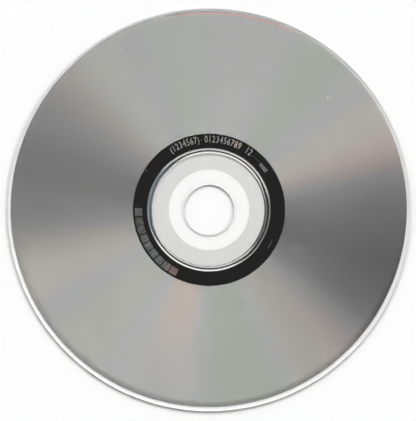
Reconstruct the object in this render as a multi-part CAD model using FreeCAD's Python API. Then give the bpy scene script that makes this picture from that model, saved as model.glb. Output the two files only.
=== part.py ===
import FreeCAD, Part
import math
import os

# Compact disc, lying on its label side with the read side up. Lengths are in millimetres.
# The origin is on the spin axis, level with the underside of the label coat. +Z is the spin axis and
# points up through the clear plastic, towards the side that the laser reads.

# Clear moulding
disc_diameter = 120.0
hole_diameter = 15.0
substrate_thickness = 1.2
hole_lead_in = 0.2          # chamfer at both mouths of the centre hole
rim_round = 0.2             # radius of the two outer edges

# Ring zones, as widths counted outwards from the wall of the hole
gate_step_width = 0.85      # shallow step that the gate punch leaves round the hole, on the read side
gate_step_depth = 0.05
bare_hub_width = 4.5        # clear ring with nothing behind it
printed_hub_width = 4.8     # ring where the print shows through the plastic
moat_width = 1.6            # shallow groove that the stamper's holding ring leaves in the label side
moat_depth = 0.03
moat_wall_run = 0.3         # how far each sloping wall of the moat reaches across
mirror_band_width = 4.3     # plain metal between the moat and the recorded area

# Stacking ring, raised on the read side over the moat, which keeps piled discs apart
stacking_ring_width = 1.6   # across its feet
stacking_ring_height = 0.25
stacking_ring_flank = 0.6   # how far each sloping flank reaches across

# Ring zones, as widths counted inwards from the rim
clear_rim_width = 1.0       # plastic past the edge of the metal
outer_mirror_width = 0.7    # plain metal outside the recorded area

# Layers on the label side
film_thickness = 0.01       # far thinner on a real disc
coat_thickness = 0.03       # lacquer and print together
coat_seal_width = 0.3       # how far the coat runs past the metal to seal its edge

# Radii that follow from the widths
hole_radius = hole_diameter / 2
gate_step_radius = hole_radius + gate_step_width
coat_inner_radius = hole_radius + bare_hub_width
moat_inner_radius = coat_inner_radius + printed_hub_width
moat_outer_radius = moat_inner_radius + moat_width
recorded_inner_radius = moat_outer_radius + mirror_band_width
stacking_ring_radius = (moat_inner_radius + moat_outer_radius) / 2
disc_radius = disc_diameter / 2
film_outer_radius = disc_radius - clear_rim_width
recorded_outer_radius = film_outer_radius - outer_mirror_width
coat_outer_radius = film_outer_radius + coat_seal_width

# Heights of the layers where the disc is flat
coat_bottom = 0.0
film_bottom = coat_bottom + coat_thickness
plastic_bottom = film_bottom + film_thickness
plastic_top = plastic_bottom + substrate_thickness

SPIN_AXIS = FreeCAD.Vector(0, 0, 1)
FULL_TURN = 360
HALF_RIGHT_ANGLE = math.radians(45)


class Section:
    """A closed half section of a turned piece, drawn as a chain of lines and arcs.

    Points are a radius from the spin axis and a height above the origin."""

    def __init__(self, radius, height):
        self.first = FreeCAD.Vector(radius, 0, height)
        self.last = self.first
        self.edges = []

    def line(self, radius, height):
        end = FreeCAD.Vector(radius, 0, height)
        self.edges.append(Part.LineSegment(self.last, end).toShape())
        self.last = end

    def arc(self, mid_radius, mid_height, radius, height):
        middle = FreeCAD.Vector(mid_radius, 0, mid_height)
        end = FreeCAD.Vector(radius, 0, height)
        self.edges.append(Part.Arc(self.last, middle, end).toShape())
        self.last = end

    def path(self, points):
        for radius, height in points:
            self.line(radius, height)

    def turned(self):
        self.line(self.first.x, self.first.z)
        face = Part.Face(Part.Wire(self.edges))
        return face.revolve(FreeCAD.Vector(), SPIN_AXIS, FULL_TURN)


def moat(level):
    """The groove's outline, from its inner foot to its outer foot, in a layer that lies at a level."""
    return [
        (moat_inner_radius, level),
        (moat_inner_radius + moat_wall_run, level + moat_depth),
        (moat_outer_radius - moat_wall_run, level + moat_depth),
        (moat_outer_radius, level),
    ]


def substrate():
    """The clear moulding: hole, hub, moat and stacking ring, flat disc and rounded rim."""
    rounding_radius = disc_radius - rim_round
    rounding_middle = disc_radius - rim_round * (1 - math.cos(HALF_RIGHT_ANGLE))
    middle_rise = rim_round * (1 - math.sin(HALF_RIGHT_ANGLE))
    ring_inner_foot = stacking_ring_radius - stacking_ring_width / 2
    ring_outer_foot = stacking_ring_radius + stacking_ring_width / 2
    step_level = plastic_top - gate_step_depth

    section = Section(hole_radius, plastic_bottom + hole_lead_in)
    section.line(hole_radius + hole_lead_in, plastic_bottom)
    section.path(moat(plastic_bottom))
    section.line(rounding_radius, plastic_bottom)
    section.arc(rounding_middle, plastic_bottom + middle_rise, disc_radius, plastic_bottom + rim_round)
    section.line(disc_radius, plastic_top - rim_round)
    section.arc(rounding_middle, plastic_top - middle_rise, rounding_radius, plastic_top)
    section.line(ring_outer_foot, plastic_top)
    section.line(ring_outer_foot - stacking_ring_flank, plastic_top + stacking_ring_height)
    section.line(ring_inner_foot + stacking_ring_flank, plastic_top + stacking_ring_height)
    section.line(ring_inner_foot, plastic_top)
    section.line(gate_step_radius, plastic_top)
    section.line(gate_step_radius, step_level)
    section.line(hole_radius + hole_lead_in, step_level)
    section.line(hole_radius, step_level - hole_lead_in)
    return section.turned()


def reflective_layer():
    """The aluminium film: it lines the moat, then runs flat as mirror band, recorded area and edge."""
    section = Section(moat_inner_radius, film_bottom)
    section.path(moat(film_bottom)[1:])
    section.line(recorded_inner_radius, film_bottom)
    section.line(recorded_outer_radius, film_bottom)
    section.line(film_outer_radius, film_bottom)
    section.line(film_outer_radius, plastic_bottom)
    section.line(recorded_outer_radius, plastic_bottom)
    section.line(recorded_inner_radius, plastic_bottom)
    section.path(reversed(moat(plastic_bottom)))
    return section.turned()


def label_coat():
    """The lacquer with its print: it follows the moat and closes over both edges of the metal."""
    section = Section(coat_inner_radius, coat_bottom)
    section.path(moat(coat_bottom))
    section.line(coat_outer_radius, coat_bottom)
    section.line(coat_outer_radius, plastic_bottom)
    section.line(film_outer_radius, plastic_bottom)
    section.line(film_outer_radius, film_bottom)
    section.path(reversed(moat(film_bottom)))
    section.line(moat_inner_radius, plastic_bottom)
    section.line(coat_inner_radius, plastic_bottom)
    return section.turned()


os.makedirs("parts", exist_ok=True)
for make_piece in (substrate, reflective_layer, label_coat):
    make_piece().exportStep("parts/" + make_piece.__name__ + ".step")
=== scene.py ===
import math

import bmesh
import bpy
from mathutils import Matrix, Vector


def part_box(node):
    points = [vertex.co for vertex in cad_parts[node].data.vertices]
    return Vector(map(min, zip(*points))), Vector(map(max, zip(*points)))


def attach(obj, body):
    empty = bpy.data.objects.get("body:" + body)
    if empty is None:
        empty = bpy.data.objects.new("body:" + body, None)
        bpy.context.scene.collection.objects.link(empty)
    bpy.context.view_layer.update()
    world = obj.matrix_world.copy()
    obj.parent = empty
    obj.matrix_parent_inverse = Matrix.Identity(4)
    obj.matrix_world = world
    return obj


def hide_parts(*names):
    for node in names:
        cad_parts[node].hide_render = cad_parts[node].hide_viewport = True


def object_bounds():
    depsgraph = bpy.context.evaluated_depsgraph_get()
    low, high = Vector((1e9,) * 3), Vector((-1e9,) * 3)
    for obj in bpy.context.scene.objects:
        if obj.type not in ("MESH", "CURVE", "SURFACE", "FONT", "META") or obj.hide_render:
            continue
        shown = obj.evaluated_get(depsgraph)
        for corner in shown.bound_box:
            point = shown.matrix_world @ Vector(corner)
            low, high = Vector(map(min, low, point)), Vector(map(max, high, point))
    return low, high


# Compact disc, lying on its label side with the read side up, seen from straight above as on a flat
# scanner. Lengths are in metres, and bearings are counted anticlockwise from +X.
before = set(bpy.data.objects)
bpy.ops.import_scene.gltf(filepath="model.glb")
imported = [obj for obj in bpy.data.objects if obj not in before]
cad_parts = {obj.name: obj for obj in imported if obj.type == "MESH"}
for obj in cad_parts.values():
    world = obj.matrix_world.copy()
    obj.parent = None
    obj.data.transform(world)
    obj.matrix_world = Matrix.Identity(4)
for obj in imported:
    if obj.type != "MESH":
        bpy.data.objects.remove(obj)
cad_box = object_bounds()

MM = 0.001
MICRON = 0.000001

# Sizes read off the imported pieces


def reach(node):
    """Smallest radius from the spin axis, lowest height and highest height of a CAD node."""
    points = [vertex.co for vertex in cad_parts[node].data.vertices]
    heights = [point.z for point in points]
    return min(math.hypot(point.x, point.y) for point in points), min(heights), max(heights)


box_low, box_high = cad_box
disc_radius = min(box_high.x, -box_low.x, box_high.y, -box_low.y)
hole_radius, plastic_bottom, plastic_peak = reach("substrate")
film_inner_radius, film_bottom, film_peak = reach("reflective_layer")
coat_inner_radius, coat_bottom, _ = reach("label_coat")
film_outer_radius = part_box("reflective_layer")[1].x
coat_outer_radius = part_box("label_coat")[1].x

# Sizes of the moulding that the boxes don't give
substrate_thickness = 1.2 * MM
hole_lead_in = 0.2 * MM
rim_round = 0.2 * MM
gate_step_width = 0.85 * MM
gate_step_depth = 0.05 * MM
moat_width = 1.6 * MM
moat_wall_run = 0.3 * MM
moat_depth = film_peak - plastic_bottom
stacking_ring_width = 1.6 * MM
stacking_ring_flank = 0.6 * MM
mirror_band_width = 4.3 * MM
outer_mirror_width = 0.7 * MM
corner_rounding = 0.03 * MM

plastic_top = plastic_bottom + substrate_thickness
moat_outer_radius = film_inner_radius + moat_width
stacking_ring_radius = film_inner_radius + moat_width / 2
recorded_inner_radius = moat_outer_radius + mirror_band_width
recorded_outer_radius = film_outer_radius - outer_mirror_width

# The recorded metal is bonded to the plastic, so it reaches just into it. The print, the mirror band
# and the marks on the band stay a hair below it, and the coat a hair below the film.
bond_depth = 3 * MICRON
print_clearance = 2 * MICRON
band_clearance = 3 * MICRON
mark_clearance = 1.5 * MICRON
stacked_mark_rise = 0.5 * MICRON
coat_clearance = 1 * MICRON

# The metal was masked a little off the axis: the circle of its inner edge lies further to the left,
# and that of its outer edge further to the top
inner_edge_radius = film_inner_radius + 0.06 * MM
inner_edge_shift = 0.3 * MM
outer_edge_shift = 0.27 * MM
outer_edge_bearing = math.radians(112.0)
edge_softness = 0.03 * MM

# Heights between which a finish of the coat goes over to that of its upper face
upper_face_low = film_bottom + 2 * MICRON
upper_face_high = film_bottom + 5 * MICRON

# Fineness of the turned meshes
TURN_STEPS = 480
CORNER_STEPS = 5
SHARP_ANGLE = math.radians(25)


class Field:
    """A number that varies over a surface. Python arithmetic on it adds the Math nodes."""

    def __init__(self, finish, socket):
        self.finish = finish
        self.socket = socket

    def __add__(self, other):
        return self.finish.math("ADD", self, other)

    __radd__ = __add__

    def __sub__(self, other):
        return self.finish.math("SUBTRACT", self, other)

    def __rsub__(self, other):
        return self.finish.math("SUBTRACT", other, self)

    def __mul__(self, other):
        return self.finish.math("MULTIPLY", self, other)

    __rmul__ = __mul__

    def __truediv__(self, other):
        return self.finish.math("DIVIDE", self, other)


class Finish:
    """The node tree of one finish, or of the studio's light, and the ways to add to it."""

    def __init__(self, owner):
        owner.use_nodes = True
        self.tree = owner.node_tree
        self.tree.nodes.clear()

    def node(self, kind, settings=None, sockets=None):
        """Adds a node: its settings first, then a value or a link for each of its sockets."""
        made = self.tree.nodes.new(kind)
        for name, value in (settings or {}).items():
            setattr(made, name, value)
        for name, value in (sockets or {}).items():
            if isinstance(value, Field):
                self.tree.links.new(value.socket, made.inputs[name])
            else:
                made.inputs[name].default_value = value
        return made

    def field(self, kind, settings=None, sockets=None, output=0):
        return Field(self, self.node(kind, settings, sockets).outputs[output])

    def math(self, operation, *values):
        return self.field("ShaderNodeMath", {"operation": operation}, dict(enumerate(values)))

    def rise(self, value, low, high):
        """0 below low, 1 above high, and a smooth step between them."""
        return self.field(
            "ShaderNodeMapRange",
            {"interpolation_type": "SMOOTHSTEP"},
            {"Value": value, "From Min": low, "From Max": high},
        )

    def band(self, value, low, high, soft):
        """1 between low and high, and 0 outside, with soft edges."""
        return self.rise(value, low - soft / 2, low + soft / 2) * (
            1 - self.rise(value, high - soft / 2, high + soft / 2)
        )

    def blend(self, mask, colour, other):
        """The first colour where the mask is 0 and the other where it is 1."""
        return self.field(
            "ShaderNodeMix",
            {"data_type": "RGBA"},
            {0: mask, 6: colour, 7: other},
            output=2,
        )

    def noise(self, place, scale, detail=2.0):
        return self.field(
            "ShaderNodeTexNoise",
            {"normalize": True},
            {"Vector": place, "Scale": scale, "Detail": detail},
        )

    def place(self, output="Object"):
        return self.field("ShaderNodeTexCoord", output=output)

    def join(self, x, y, z):
        return self.field("ShaderNodeCombineXYZ", None, {0: x, 1: y, 2: z})

    def axes(self, place):
        split = self.node("ShaderNodeSeparateXYZ", None, {0: place})
        return [Field(self, socket) for socket in split.outputs]

    def radius(self, x, y):
        return self.math("SQRT", x * x + y * y)

    def fan(self, across, up, bearing, half_width):
        """1 on a bearing, and down to 0 at half_width degrees to each side of it."""
        turn = math.radians(bearing)
        nearness = across * math.cos(turn) + up * math.sin(turn)
        return self.rise(nearness, math.cos(math.radians(half_width)), 1.0)

    def bearing(self, x, y):
        return self.math("ARCTAN2", y, x) * (180 / math.pi)

    def bump(self, height, strength, distance):
        return self.field(
            "ShaderNodeBump", None, {"Height": height, "Strength": strength, "Distance": distance}
        )

    def surface(self, sockets):
        shader = self.node("ShaderNodeBsdfPrincipled", None, sockets)
        output = self.node("ShaderNodeOutputMaterial")
        self.tree.links.new(shader.outputs[0], output.inputs["Surface"])


def new_finish(name):
    material = bpy.data.materials.new(name)
    return material, Finish(material)


def grey(level):
    return (level, level, level, 1.0)


# Finishes

BRIGHT_METAL = grey(0.88)
# colour of the bluish painted reflection in the moat's left
PAINTED_BLUE_METAL = (0.48, 0.53, 0.61, 1.0)
SHADED_METAL = grey(0.1)
DIM_METAL = grey(0.45)
# colour of the painted red glint at the top of the metal's outer edge
PAINTED_GLINT_RED = (0.82, 0.54, 0.53, 1.0)
LIGHT_PRINT = grey(0.78)


def clear_polycarbonate():
    """The moulding: glass-clear, faintly warm, with the slight haze of handling."""
    material, finish = new_finish("clear_polycarbonate")
    handling = finish.noise(finish.place(), scale=180.0, detail=4.0)
    haze = finish.rise(handling, low=0.45, high=0.8) * 0.015
    finish.surface({
        "Base Color": (0.995, 0.995, 0.99, 1.0),
        "Roughness": haze,
        "IOR": 1.58,
        "Transmission Weight": 1.0,
    })
    return material


def past_inner_edge(finish, x, y):
    """1 where there is metal behind the plastic and 0 nearer the hub, where the print shows."""
    shifted = finish.radius(x + inner_edge_shift, y)
    return finish.rise(shifted, inner_edge_radius - edge_softness, inner_edge_radius + edge_softness)


def within_outer_edge(finish, x, y):
    """1 where there is metal behind the plastic and 0 past its outer edge."""
    shifted = finish.radius(
        x - outer_edge_shift * math.cos(outer_edge_bearing),
        y - outer_edge_shift * math.sin(outer_edge_bearing),
    )
    return 1 - finish.rise(
        shifted, film_outer_radius - edge_softness, film_outer_radius + edge_softness
    )


def upper_face(finish, z):
    """1 where the coat reaches up to the plastic, and 0 on its underside."""
    return finish.rise(z, upper_face_low, upper_face_high)


def mirror_band():
    """Plain sputtered aluminium without tracks, rougher in the moat's left, where a bluish painted
    reflection lies on it. Nearer the hub than the metal's edge it shows the print."""
    # Where the moat's left is rougher and painted bluish as a painted reflection
    cloudy_bearing = 166.0
    cloudy_half_width = 52.0
    moat_fade = 0.2 * MM
    material, finish = new_finish("mirror_band")
    place = finish.place()
    x, y, _ = finish.axes(place)
    radius = finish.radius(x, y)
    metal = past_inner_edge(finish, x, y)
    cloud = finish.noise(place, scale=60.0)
    in_moat = 1 - finish.rise(radius, moat_outer_radius, moat_outer_radius + moat_fade)
    cloudy_with_painted_blue = finish.fan(x / radius, y / radius, cloudy_bearing, cloudy_half_width) * in_moat
    colour = finish.blend(cloud, grey(0.86), grey(0.9))
    # painted reflection: a bluish colour over the moat's left
    colour = finish.blend(cloudy_with_painted_blue, colour, PAINTED_BLUE_METAL)
    finish.surface({
        "Base Color": finish.blend(metal, LIGHT_PRINT, colour),
        "Metallic": metal,
        "Roughness": 0.03 + cloud * 0.02 + cloudy_with_painted_blue * 0.23,
    })
    return material


# Painted light of the fans: faint colours, and lighter and darker greys, painted on by bearing where
# the tracks would spread them out of the light: a bearing and a half width in degrees, the strength
# near the hub and near the rim, and the colour. Later rows lie over earlier ones.
PAINTED_FAN_LIGHT = [
    (4, 14, 1.0, 1.0, (0.71, 0.71, 0.71)),
    (27, 11, 0.9, 1.0, (0.73, 0.71, 0.65)),
    (19, 9, 0.4, 1.0, (0.8, 0.7, 0.67)),
    (54, 12, 1.0, 1.0, (0.61, 0.64, 0.59)),
    (101, 12, 0.8, 0.6, (0.64, 0.67, 0.61)),
    (130, 14, 0.9, 0.9, (0.73, 0.73, 0.69)),
    (149, 13, 1.0, 0.7, (0.77, 0.77, 0.77)),
    (168, 11, 0.8, 0.0, (0.72, 0.72, 0.72)),
    (139, 8, 1.0, 1.0, (0.74, 0.71, 0.68)),
    (184, 15, 1.0, 0.4, (0.78, 0.78, 0.78)),
    (198, 13, 0.7, 1.0, (0.75, 0.72, 0.66)),
    (226, 13, 0.9, 1.0, (0.65, 0.66, 0.61)),
    (254, 13, 1.0, 0.0, (0.75, 0.66, 0.6)),
    (281, 18, 1.0, 1.0, (0.59, 0.61, 0.56)),
    (306, 12, 0.9, 1.0, (0.64, 0.62, 0.56)),
    (314, 9, 0.1, 0.9, (0.69, 0.62, 0.6)),
    (329, 13, 1.0, 1.0, (0.71, 0.71, 0.71)),
]


def painted_red_glint(finish, radius, across, up):
    """A thin red glint painted on the metal's outer edge at the top."""
    past_tracks = 0.05 * MM
    short_of_edge = 0.15 * MM
    softness = 0.1 * MM
    top_bearing = 82.0
    top_half_width = 25.0
    low = recorded_outer_radius + past_tracks
    high = film_outer_radius - short_of_edge
    line = finish.band(radius, low, high, softness)
    return line * finish.fan(across, up, top_bearing, top_half_width)


def painted_metal_shade(finish, radius, across, up, outwards):
    """How much shade is painted onto the metal, for how the light falls there: along the rim, most of
    all at the bottom, in the right of the disc and a little over its lower part."""
    rim_width = 2.0 * MM
    right_bearing = 348.0
    right_half_width = 38.0
    along_rim = finish.rise(radius, recorded_outer_radius - rim_width, film_outer_radius)
    at_right = finish.fan(across, up, right_bearing, right_half_width)
    below = 1 - finish.rise(up, low=-0.6, high=0.0)
    shade = along_rim * finish.math("MAXIMUM", 0.06 - up * 0.42, 0.0)
    shade = shade + at_right * (0.07 + outwards * 0.24)
    return shade + below * (0.05 + outwards * 0.08)


def recorded_metal(name, at_edge=False):
    """Aluminium over the fine circular tracks, which spread a light into fans across the disc. The
    outer edge takes it too, but only as far as the metal reaches, and the coat shows past that."""
    material, finish = new_finish(name)
    x, y, _ = finish.axes(finish.place())
    radius = finish.radius(x, y)
    across = x / radius
    up = y / radius
    streaks = finish.noise(finish.join(across, up, 0.0), scale=9.0, detail=6.0)
    tracks = finish.noise(finish.join(radius, 0.0, 0.0), scale=4000.0)
    colour = finish.blend(streaks * 0.7 + tracks * 0.3, grey(0.59), grey(0.71))
    outwards = finish.rise(radius, recorded_inner_radius, recorded_outer_radius)
    # painted light: the fans' faint colours and lighter and darker greys, painted on by bearing
    for bearing, half_width, at_hub, at_rim, tint in PAINTED_FAN_LIGHT:
        strength = outwards * (at_rim - at_hub) + at_hub
        mask = finish.fan(across, up, bearing, half_width) * strength
        colour = finish.blend(mask, colour, (*tint, 1.0))
    # painted highlight: a thin red glint on the metal's outer edge at the top
    colour = finish.blend(painted_red_glint(finish, radius, across, up), colour, PAINTED_GLINT_RED)
    # painted shade: the metal is darkened along the rim, at the right and over its lower part
    shade = painted_metal_shade(finish, radius, across, up, outwards)
    finish.surface({
        "Base Color": finish.blend(shade, colour, SHADED_METAL),
        "Metallic": 1.0,
        "Roughness": 0.26,
        "Anisotropic": 1.0,
        "Anisotropic Rotation": 0.25,
        "Alpha": within_outer_edge(finish, x, y) if at_edge else 1.0,
    })
    return material


def label_print():
    """The light print and its lacquer, satin on the outside. Where the metal reaches further in than
    the film does, at the right, its upper face turns to metal."""
    material, finish = new_finish("label_print")
    place = finish.place()
    x, y, z = finish.axes(place)
    grain = finish.noise(place, scale=900.0, detail=3.0)
    metal = past_inner_edge(finish, x, y) * upper_face(finish, z)
    colour = finish.blend(grain, grey(0.7), grey(0.86))
    finish.surface({
        "Base Color": finish.blend(metal, colour, BRIGHT_METAL),
        "Metallic": metal,
        "Roughness": 0.42 + grain * 0.1 - metal * 0.42,
        "Normal": finish.bump(grain, strength=0.15, distance=5 * MICRON),
    })
    return material


def clear_lacquer():
    """The lacquer past the film. It is in contact with the plastic, so it hardly bends light. Where
    the metal reaches further out than the film does, at the top, its upper face turns to metal."""
    material, finish = new_finish("clear_lacquer")
    place = finish.place()
    x, y, z = finish.axes(place)
    metal = within_outer_edge(finish, x, y) * upper_face(finish, z)
    grain = finish.noise(place, scale=900.0, detail=3.0)
    finish.surface({
        "Base Color": finish.blend(metal, grey(0.99), DIM_METAL),
        "Metallic": metal,
        "Roughness": grain * 0.02 + metal * 0.26,
        "IOR": 1.06,
        "Transmission Weight": 1.0,
        "Anisotropic": 1.0,
        "Anisotropic Rotation": 0.25,
    })
    return material


def etched_marks(name, low, high):
    """The frosted marks that are etched into the mirror band, with a pinkish highlight painted on
    where a fan would catch them, and painted lighter towards the lower left.
    """
    material, finish = new_finish(name)
    place = finish.place()
    x, y, _ = finish.axes(place)
    radius = finish.radius(x, y)
    across = x / radius
    up = y / radius
    grain = finish.noise(place, scale=3000.0)
    # painted highlight: a pinkish light painted on at two bearings
    lower_left = finish.fan(across, up, bearing=240.0, half_width=9.0)
    upper_right = finish.fan(across, up, bearing=67.0, half_width=9.0)
    painted_pink_light = lower_left + upper_right * 0.6
    # painted light: the marks are painted lighter towards the lower left
    lit = finish.fan(across, up, bearing=232.0, half_width=60.0) * 0.6 + grain * 0.4
    colour = finish.blend(lit, grey(low), grey(high))
    glow = min(high * 1.4, 1.0)
    painted_pink = (glow, glow * 0.76, glow * 0.69, 1.0)
    finish.surface({
        "Base Color": finish.blend(painted_pink_light, colour, painted_pink),
        "Metallic": 0.2,
        "Roughness": 0.5 + grain * 0.1,
    })
    return material


def pale_dust(name, level, cover):
    """A grain of dust on the read side. Light comes through it where its cover is below 1."""
    material, finish = new_finish(name)
    grain = finish.noise(finish.place(), scale=5000.0)
    finish.surface({
        "Base Color": finish.blend(grain, grey(level), grey(level + 0.15)),
        "Roughness": 0.5 + grain * 0.2,
        "Alpha": cover,
    })
    return material


# Turned pieces


def rounded(corners):
    """The outline through the corners, each a radius, a height and how far it is rounded."""
    outline = []
    for index, (radius, height, rounding) in enumerate(corners):
        corner = Vector((radius, height))
        if not rounding:
            outline.append(corner)
            continue
        before = Vector(corners[index - 1][:2]) - corner
        after = Vector(corners[(index + 1) % len(corners)][:2]) - corner
        half_turn = (math.pi - before.angle(after)) / 2
        setback = rounding * math.tan(half_turn)
        start = corner + before.normalized() * setback
        end = corner + after.normalized() * setback
        centre = corner + (before.normalized() + after.normalized()).normalized() * (
            rounding / math.cos(half_turn)
        )
        for step in range(CORNER_STEPS + 1):
            share = step / CORNER_STEPS
            chord = start.lerp(end, share) - centre
            outline.append(centre + chord.normalized() * rounding)
    return outline


def turned(name, outline, finishes, finish_of=None):
    """A closed mesh of the outline turned about the spin axis."""
    made = bmesh.new()
    rings = []
    for step in range(TURN_STEPS):
        angle = 2 * math.pi * step / TURN_STEPS
        rings.append([
            made.verts.new((point.x * math.cos(angle), point.x * math.sin(angle), point.y))
            for point in outline
        ])
    count = len(outline)
    for step in range(TURN_STEPS):
        here = rings[step]
        there = rings[(step + 1) % TURN_STEPS]
        for index in range(count):
            following = (index + 1) % count
            face = made.faces.new((here[index], there[index], there[following], here[following]))
            if finish_of:
                face.material_index = finish_of((outline[index].x + outline[following].x) / 2)
    bmesh.ops.recalc_face_normals(made, faces=made.faces)
    mesh = bpy.data.meshes.new(name)
    made.to_mesh(mesh)
    made.free()
    for finish in finishes:
        mesh.materials.append(finish)
    mesh.shade_smooth()
    mesh.set_sharp_from_angle(angle=SHARP_ANGLE)
    piece = bpy.data.objects.new(name, mesh)
    bpy.context.scene.collection.objects.link(piece)
    return piece


def moat(level, rounding):
    """The groove's corners, from its inner foot to its outer foot, in a layer at that level."""
    return [
        (film_inner_radius, level, rounding),
        (film_inner_radius + moat_wall_run, level + moat_depth, rounding),
        (moat_outer_radius - moat_wall_run, level + moat_depth, rounding),
        (moat_outer_radius, level, rounding),
    ]


def stacking_ring(rounding):
    """The stacking ring's flat crest and sloping flanks, from its outer foot to its inner foot."""
    foot = stacking_ring_width / 2
    crest = foot - stacking_ring_flank
    return [
        (stacking_ring_radius + foot, plastic_top, rounding),
        (stacking_ring_radius + crest, plastic_peak, rounding),
        (stacking_ring_radius - crest, plastic_peak, rounding),
        (stacking_ring_radius - foot, plastic_top, rounding),
    ]


def make_moulding():
    """The clear moulding, with all its corners a little rounded."""
    step_level = plastic_top - gate_step_depth
    corners = [
        (hole_radius, plastic_bottom + hole_lead_in, corner_rounding),
        (hole_radius + hole_lead_in, plastic_bottom, corner_rounding),
        *moat(plastic_bottom, corner_rounding),
        (disc_radius, plastic_bottom, rim_round),
        (disc_radius, plastic_top, rim_round),
        *stacking_ring(corner_rounding),
        (hole_radius + gate_step_width, plastic_top, corner_rounding / 2),
        (hole_radius + gate_step_width, step_level, corner_rounding / 2),
        (hole_radius + hole_lead_in, step_level, corner_rounding),
        (hole_radius, step_level - hole_lead_in, corner_rounding),
    ]
    piece = turned("clear_moulding", rounded(corners), [clear_polycarbonate()])
    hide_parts("substrate")
    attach(piece, "root")


def make_film():
    """The metal film: mirror band, recorded area and outer edge."""
    def finish_of(radius):
        if radius > recorded_outer_radius:
            return 2
        return int(radius > recorded_inner_radius)

    film_top = plastic_bottom + bond_depth
    band_top = plastic_bottom - band_clearance
    corners = [
        (film_inner_radius, film_bottom, 0),
        *moat(film_bottom, corner_rounding)[1:],
        (recorded_inner_radius, film_bottom, 0),
        (recorded_outer_radius, film_bottom, 0),
        (film_outer_radius, film_bottom, 0),
        (film_outer_radius, film_top, 0),
        (recorded_outer_radius, film_top, 0),
        (recorded_inner_radius, film_top, 0),
        (recorded_inner_radius, band_top, 0),
        *reversed(moat(band_top, corner_rounding)[1:]),
        (film_inner_radius, band_top, 0),
    ]
    finishes = [
        mirror_band(),
        recorded_metal("recorded_aluminium"),
        recorded_metal("outer_metal_edge", at_edge=True),
    ]
    piece = turned("metal_film", rounded(corners), finishes, finish_of)
    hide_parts("reflective_layer")
    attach(piece, "root")


def make_coat():
    """The printed coat, which runs out clear past the film."""
    def finish_of(radius):
        return int(radius > film_outer_radius)

    print_top = plastic_bottom - print_clearance
    under_film = film_bottom - coat_clearance
    corners = [
        (coat_inner_radius, coat_bottom, 0),
        *moat(coat_bottom, corner_rounding),
        (film_outer_radius, coat_bottom, 0),
        (coat_outer_radius, coat_bottom, 0),
        (coat_outer_radius, print_top, 0),
        (film_outer_radius, print_top, 0),
        (film_outer_radius, under_film, 0),
        *reversed(moat(under_film, corner_rounding)[1:]),
        (film_inner_radius, under_film, 0),
        (film_inner_radius, print_top, 0),
        (coat_inner_radius, print_top, 0),
    ]
    finishes = [label_print(), clear_lacquer()]
    piece = turned("label_side_coat", rounded(corners), finishes, finish_of)
    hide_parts("label_coat")
    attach(piece, "root")


# Marks etched into the mirror band, plain counting digits and plain bars. Angles are in degrees.

mark_floor = plastic_bottom - band_clearance - mark_clearance
mark_ceiling = plastic_bottom - mark_clearance

COUNTING_DIGITS = "(1234567) 0123456789 12"
first_digit_bearing = 123.2
digit_foot = 20.12 * MM
digit_height = 1.98 * MM
digit_turn = 2.35       # how much of the band a digit takes
digit_pitch = 3.1       # from one digit to the next
bracket_pitch = 1.8
space_pitch = 4.0
bracket_height_share = 0.85
stroke_gain = 0.008     # how much a digit's strokes are fattened, in the font's own unit
FONT_DIGIT_HEIGHT = 0.69
FONT_DIGIT_WIDTH = 0.44
CURVE_STEPS = 4

first_bar_bearing = 178.7
bar_groups = 9
bar_group_pitch = 7.25
bar_strip_width = 6.35
bars_in_group = 4
bar_pitch = 1.6
bar_inset = 0.8         # from the strip's start to the middle of its first bar
narrow_bar = 0.6
wide_bar = 0.95
bar_foot = 19.95 * MM
bar_length = 2.1 * MM

block_lines = 5
block_first_line = 35.9
block_line_pitch = 1.35
block_line_width = 0.95


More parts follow.
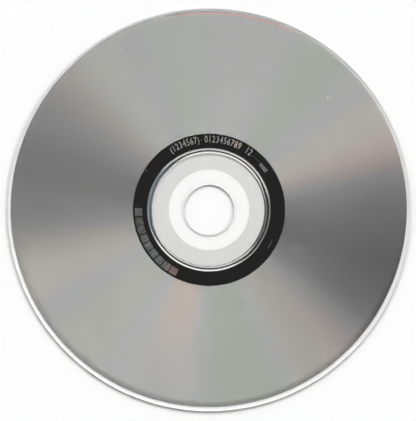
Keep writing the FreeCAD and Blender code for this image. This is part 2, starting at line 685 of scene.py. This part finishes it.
class Marks:
    """One mesh of thin marks, each placed by a radius and by a bearing in degrees."""

    def __init__(self):
        self.made = bmesh.new()

    def spot(self, radius, bearing, height):
        turn = math.radians(bearing)
        return self.made.verts.new((radius * math.cos(turn), radius * math.sin(turn), height))

    def bar(self, bearing, width, foot, length):
        """A bar that points outwards, width degrees wide."""
        half = width / 2
        corners = ((-half, foot), (half, foot), (half, foot + length), (-half, foot + length))
        low = [self.spot(radius, bearing + side, mark_floor) for side, radius in corners]
        high = [self.spot(radius, bearing + side, mark_ceiling) for side, radius in corners]
        self.made.faces.new(high)
        self.made.faces.new(reversed(low))
        for index in range(4):
            after = (index + 1) % 4
            self.made.faces.new((low[index], low[after], high[after], high[index]))

    def arc(self, first, last, radius, width):
        """A thin line along the band, from one bearing to another."""
        steps = round(last - first)
        step = (last - first) / steps
        for index in range(steps):
            self.bar(first + (index + 0.5) * step, step, radius - width / 2, width)

    def glyph(self, character, bearing):
        """A character of Blender's own font, its top outwards, bent round the band."""
        height_share = bracket_height_share if character in "()" else 1.0
        curve = bpy.data.curves.new("character", "FONT")
        curve.body = character
        curve.resolution_u = CURVE_STEPS
        curve.extrude = 1.0     # only tells the upper face from the lower
        curve.offset = stroke_gain
        holder = bpy.data.objects.new("character", curve)
        flat = bpy.data.meshes.new_from_object(holder)
        points = [vertex.co for vertex in flat.vertices]
        middle = (min(point.x for point in points) + max(point.x for point in points)) / 2
        verts = []
        for point in points:
            side = (point.x - middle) / FONT_DIGIT_WIDTH * digit_turn
            radius = digit_foot + point.y / FONT_DIGIT_HEIGHT * height_share * digit_height
            height = mark_ceiling if point.z > 0 else mark_floor
            verts.append(self.spot(radius, bearing - side, height))
        for face in flat.polygons:
            self.made.faces.new([verts[index] for index in face.vertices])
        bpy.data.objects.remove(holder)
        bpy.data.curves.remove(curve)
        bpy.data.meshes.remove(flat)

    def piece(self, name, finish, proud=0.0):
        """Ends the mesh. Marks that lie on others stand a little proud of them."""
        for vertex in self.made.verts:
            if vertex.co.z == mark_ceiling:
                vertex.co.z += proud
        bmesh.ops.remove_doubles(self.made, verts=self.made.verts, dist=0.1 * MICRON)
        bmesh.ops.recalc_face_normals(self.made, faces=self.made.faces)
        mesh = bpy.data.meshes.new(name)
        self.made.to_mesh(mesh)
        self.made.free()
        mesh.materials.append(finish)
        made = bpy.data.objects.new(name, mesh)
        bpy.context.scene.collection.objects.link(made)
        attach(made, "root")


def make_digits():
    """Plain digits that count up, read clockwise from the upper left."""
    digits = Marks()
    pitches = {"(": bracket_pitch, ")": bracket_pitch, " ": space_pitch}
    bearing = first_digit_bearing
    for character in COUNTING_DIGITS:
        pitch = pitches.get(character, digit_pitch)
        if character != " ":
            digits.glyph(character, bearing - pitch / 2)
        bearing -= pitch
    digits.piece("etched_digits", etched_marks("etched_digits", low=0.3, high=0.42))


def make_bars():
    """Plain bars in even groups on the lower left, each group on a dim strip of its own."""
    strips = Marks()
    bars = Marks()
    for group in range(bar_groups):
        first = first_bar_bearing + group * bar_group_pitch
        strips.bar(first + bar_strip_width / 2, bar_strip_width, bar_foot, bar_length)
        for index in range(bars_in_group):
            width = wide_bar if (group + index) % 2 else narrow_bar
            bars.bar(first + bar_inset + index * bar_pitch, width, bar_foot, bar_length)
    strips.piece("etched_strips", etched_marks("etched_strips", low=0.18, high=0.3))
    bars.piece("etched_bars", etched_marks("etched_bars", low=0.78, high=0.96), stacked_mark_rise)


def make_faint_marks():
    """The small dim block with its longer end bar, its line, the short dash between the digits, the
    thin trace on the lower right and the small spot on the upper left."""
    block = Marks()
    block.bar(bearing=34.4, width=0.8, foot=19.8 * MM, length=1.35 * MM)
    for index in range(block_lines):
        bearing = block_first_line + index * block_line_pitch
        block.bar(bearing, block_line_width, foot=19.9 * MM, length=1.1 * MM)
    block.piece("etched_block", etched_marks("etched_block", low=0.2, high=0.31))
    faint = Marks()
    faint.arc(first=42.5, last=52.5, radius=20.7 * MM, width=0.08 * MM)
    faint.arc(first=95.4, last=97.4, radius=21.0 * MM, width=0.1 * MM)
    faint.arc(first=326.4, last=334.4, radius=20.88 * MM, width=0.1 * MM)
    faint.bar(bearing=148.2, width=1.0, foot=21.85 * MM, length=0.3 * MM)
    faint.piece("faint_marks", etched_marks("faint_marks", low=0.12, high=0.18))


def make_flecks():
    """Two pale flecks on the read side, each a flattened grain that stands on the plastic."""
    grain_height = 20 * MICRON
    for name, radius, bearing, length, width, level, cover in (
        ("long_fleck", 48.4 * MM, 43.3, 1.2 * MM, 0.3 * MM, 0.55, 1.0),
        ("round_fleck", 54.2 * MM, 116.8, 0.65 * MM, 0.65 * MM, 0.8, 0.5),
    ):
        turn = math.radians(bearing)
        made = bmesh.new()
        for vertex in bmesh.ops.create_icosphere(made, subdivisions=3, radius=0.5)["verts"]:
            vertex.co.x *= width
            vertex.co.y *= length
            vertex.co.z *= grain_height
            vertex.co += Vector((radius * math.cos(turn), radius * math.sin(turn), plastic_top))
        mesh = bpy.data.meshes.new(name)
        made.to_mesh(mesh)
        made.free()
        mesh.materials.append(pale_dust(name, level, cover))
        mesh.shade_smooth()
        fleck = bpy.data.objects.new(name, mesh)
        bpy.context.scene.collection.objects.link(fleck)
        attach(fleck, "root")


# Studio


def light_studio():
    """Soft light: a long bank behind the disc that narrows as it climbs, dimmer light to both sides, a
    dim patch high before it, a pale horizon and ground, and a dark ceiling where the camera is."""
    world = bpy.data.worlds.new("studio")
    bpy.context.scene.world = world
    studio = Finish(world)
    x, y, z = studio.axes(studio.place("Generated"))

    # Where each light lies. Bearings are in degrees, and a height is the sine of the elevation.
    bearing = studio.bearing(x, y)
    opposite = studio.bearing(x * -1, y * -1)
    near_top = studio.rise(z, low=0.9, high=0.95)
    behind = studio.band(bearing, low=11.0, high=141.0, soft=14.0) * (1 - near_top)
    behind = behind + studio.band(bearing, low=28.0, high=119.0, soft=22.0) * near_top
    before = studio.band(opposite, low=11.0, high=141.0, soft=14.0) * (1 - near_top)
    before = before + studio.band(opposite, low=17.0, high=137.0, soft=14.0) * near_top
    beside = 1 - behind - before
    raised = studio.rise(z, low=0.58, high=0.66)
    ceiling = studio.rise(z, low=0.972, high=0.992)

    # How strong each light is. Behind and beside, it is stronger lower down.
    stray = 0.02
    behind_light = 1.07 + (1 - studio.rise(z, low=0.8, high=0.9)) * 3.8
    beside_light = 0.08 + (1 - studio.rise(z, low=0.78, high=0.84)) * 1.6
    before_light = studio.rise(z, low=0.86, high=0.93) * 0.5
    sky = behind * behind_light + beside * beside_light + before * before_light
    horizon = (1 - studio.rise(z, low=0.18, high=0.38)) * 0.5
    ground = (1 - studio.rise(z, low=-0.02, high=0.0)) * 0.3
    low = 0.14 + behind * 0.43 + beside * 0.1 + horizon + ground
    level = (1 - raised) * low + raised * (1 - ceiling) * sky + stray
    background = studio.node("ShaderNodeBackground", None, {"Color": grey(1.0), "Strength": level})
    output = studio.node("ShaderNodeOutputWorld")
    studio.tree.links.new(background.outputs[0], output.inputs["Surface"])


def lay_floor():
    """White paper just under the disc. Rays that come through the plastic see it glowing partly at its
    full white, a painted glow that is strongest under the bare hub."""
    half_width = 4.0
    drop = 20 * MICRON
    full_white = 1.05       # a little over 1, for what the plastic's faces reflect away
    share_anywhere = 0.15
    share_under_hub = 0.8
    share_at_hole = 0.2     # of the share under the hub
    mesh = bpy.data.meshes.new("floor")
    corners = [
        (-half_width, -half_width, -drop),
        (half_width, -half_width, -drop),
        (half_width, half_width, -drop),
        (-half_width, half_width, -drop),
    ]
    mesh.from_pydata(corners, [], [(0, 1, 2, 3)])
    material, finish = new_finish("white_paper")
    place = finish.place()
    fibres = finish.noise(place, scale=400.0, detail=3.0)
    paper = finish.field("ShaderNodeBsdfPrincipled", None, {
        "Base Color": finish.blend(fibres, grey(0.96), grey(0.975)),
        "Roughness": 0.9,
        "Specular IOR Level": 0.0,
    })
    x, y, _ = finish.axes(place)
    radius = finish.radius(x, y)
    # painted glow: the paper glows for rays through the plastic, most under the bare hub and less near
    # the hole
    from_hole = finish.rise(radius, hole_radius + 0.7 * MM, hole_radius + 1.5 * MM)
    painted_glow_under_hub = share_at_hole + from_hole * (1 - share_at_hole)
    painted_glow_under_hub = painted_glow_under_hub * (1 - finish.rise(radius, coat_inner_radius, film_inner_radius))
    seen_through = finish.field("ShaderNodeLightPath", output="Is Transmission Ray")
    white = finish.field("ShaderNodeEmission", None, {"Color": grey(1.0), "Strength": full_white})
    lit = finish.node("ShaderNodeMixShader", None, {
        0: seen_through * (share_anywhere + painted_glow_under_hub * share_under_hub),
        1: paper,
        2: white,
    })
    output = finish.node("ShaderNodeOutputMaterial")
    finish.tree.links.new(lit.outputs[0], output.inputs["Surface"])
    mesh.materials.append(material)
    floor = bpy.data.objects.new("floor", mesh)
    bpy.context.scene.collection.objects.link(floor)


def set_camera():
    """Straight above the disc and without perspective, as a flat scan sees it."""
    photo_height = 421              # in pixels, like the two offsets
    metres_per_pixel = 0.29806 * MM
    disc_right_of_middle = 1.05
    disc_above_middle = 0.65
    camera_height = 0.5
    data = bpy.data.cameras.new("overhead")
    data.type = "ORTHO"
    data.ortho_scale = photo_height * metres_per_pixel
    camera = bpy.data.objects.new("overhead", data)
    camera.location = (
        -disc_right_of_middle * metres_per_pixel,
        -disc_above_middle * metres_per_pixel,
        camera_height,
    )
    bpy.context.scene.collection.objects.link(camera)
    bpy.context.scene.camera = camera


bpy.context.scene.view_settings.view_transform = "Standard"
bpy.context.scene.cycles.blur_glossy = 0.0
set_camera()
light_studio()
lay_floor()
make_moulding()
make_film()
make_coat()
make_digits()
make_bars()
make_faint_marks()
make_flecks()
